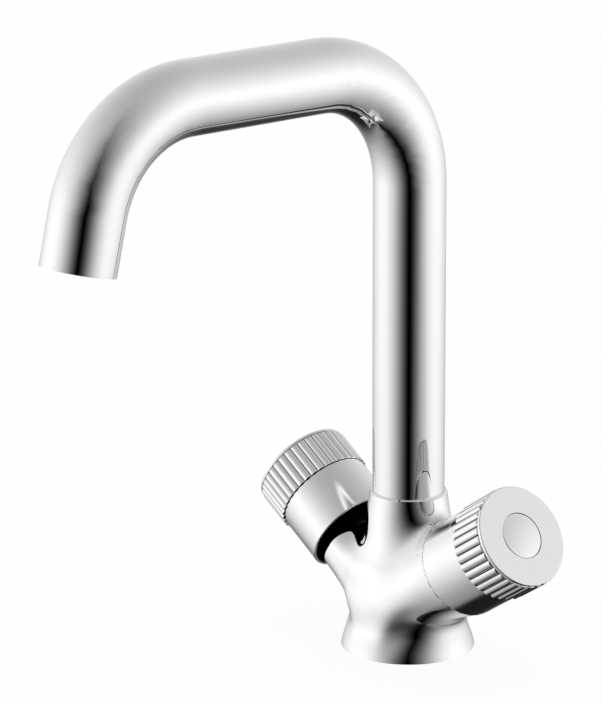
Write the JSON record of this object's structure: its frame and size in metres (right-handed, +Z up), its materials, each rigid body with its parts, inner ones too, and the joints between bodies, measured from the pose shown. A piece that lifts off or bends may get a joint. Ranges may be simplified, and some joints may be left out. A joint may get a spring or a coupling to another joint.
{
  "type": "basin mixer tap",
  "caption": "Deck-mounted basin mixer tap: flared body with two tilted arms, fluted round knobs and a swivelling arched tube spout with an aerator.",
  "frame": {"origin": "centre of the base's underside", "axes": "+Z up, spout points along -Y towards the user, cold arm leans to +X and hot arm to -X"},
  "size_m": [0.1466, 0.1987, 0.245],
  "materials": {
    "chromed_casting": "bright nickel-chrome plate on cast brass",
    "chromed_shroud": "bright nickel-chrome plate on turned brass",
    "chromed_grip": "bright nickel-chrome plate on die-cast metal",
    "chromed_button": "bright nickel-chrome plate on a pressed button",
    "chromed_tube": "bright nickel-chrome plate on drawn brass tube",
    "chromed_ring": "bright nickel-chrome plate on turned brass",
    "brass": "machined",
    "stainless_steel": "machined",
    "alumina_ceramic": "lapped white ceramic",
    "white_plastic": "moulded acetal",
    "grey_plastic": "moulded acetal",
    "seal_rubber": "smooth moulded",
    "fibre_gasket": "pressed fibre"
  },
  "bodies": {
    "base": {"body_casting": "chromed_casting", "base_seal": "seal_rubber", "spout_bearing": "white_plastic", "hot_valve_housing": "brass", "hot_fixed_disc": "alumina_ceramic", "hot_seat_seal": "seal_rubber", "hot_housing_gasket": "fibre_gasket", "hot_valve_shroud": "chromed_shroud", "hot_shroud_nut": "brass", "cold_valve_housing": "brass", "cold_fixed_disc": "alumina_ceramic", "cold_seat_seal": "seal_rubber", "cold_housing_gasket": "fibre_gasket", "cold_valve_shroud": "chromed_shroud", "cold_shroud_nut": "brass"},
    "spout": {"spout_tube": "chromed_tube", "spout_foot": "brass", "spout_seals": "seal_rubber", "spout_locking_ring": "white_plastic", "outlet_ring": "chromed_ring", "aerator_housing": "chromed_ring", "aerator_insert": "grey_plastic", "aerator_washer": "seal_rubber"},
    "hot_knob": {"hot_grip": "chromed_grip", "hot_index_button": "chromed_button", "hot_knob_screw": "stainless_steel", "hot_spline_insert": "white_plastic", "hot_spindle": "brass", "hot_rotating_disc": "alumina_ceramic", "hot_spindle_seals": "seal_rubber", "hot_spindle_clip": "stainless_steel"},
    "cold_knob": {"cold_grip": "chromed_grip", "cold_index_button": "chromed_button", "cold_knob_screw": "stainless_steel", "cold_spline_insert": "white_plastic", "cold_spindle": "brass", "cold_rotating_disc": "alumina_ceramic", "cold_spindle_seals": "seal_rubber", "cold_spindle_clip": "stainless_steel"}
  },
  "joints": [
    {"name": "spout_swivel", "type": "hinge", "parent": "base", "child": "spout", "pos_m": [0, 0, 0.05], "axis": [0, 0, 1], "continuous": true},
    {"name": "hot_knob_turn", "type": "hinge", "parent": "base", "child": "hot_knob", "pos_m": [0, 0, 0.0182], "axis": [-0.8387, 0, 0.5446], "range_deg": [0, 180]},
    {"name": "cold_knob_turn", "type": "hinge", "parent": "base", "child": "cold_knob", "pos_m": [0, 0, 0.0182], "axis": [0.8387, 0, 0.5446], "range_deg": [0, 180]}
  ]
}
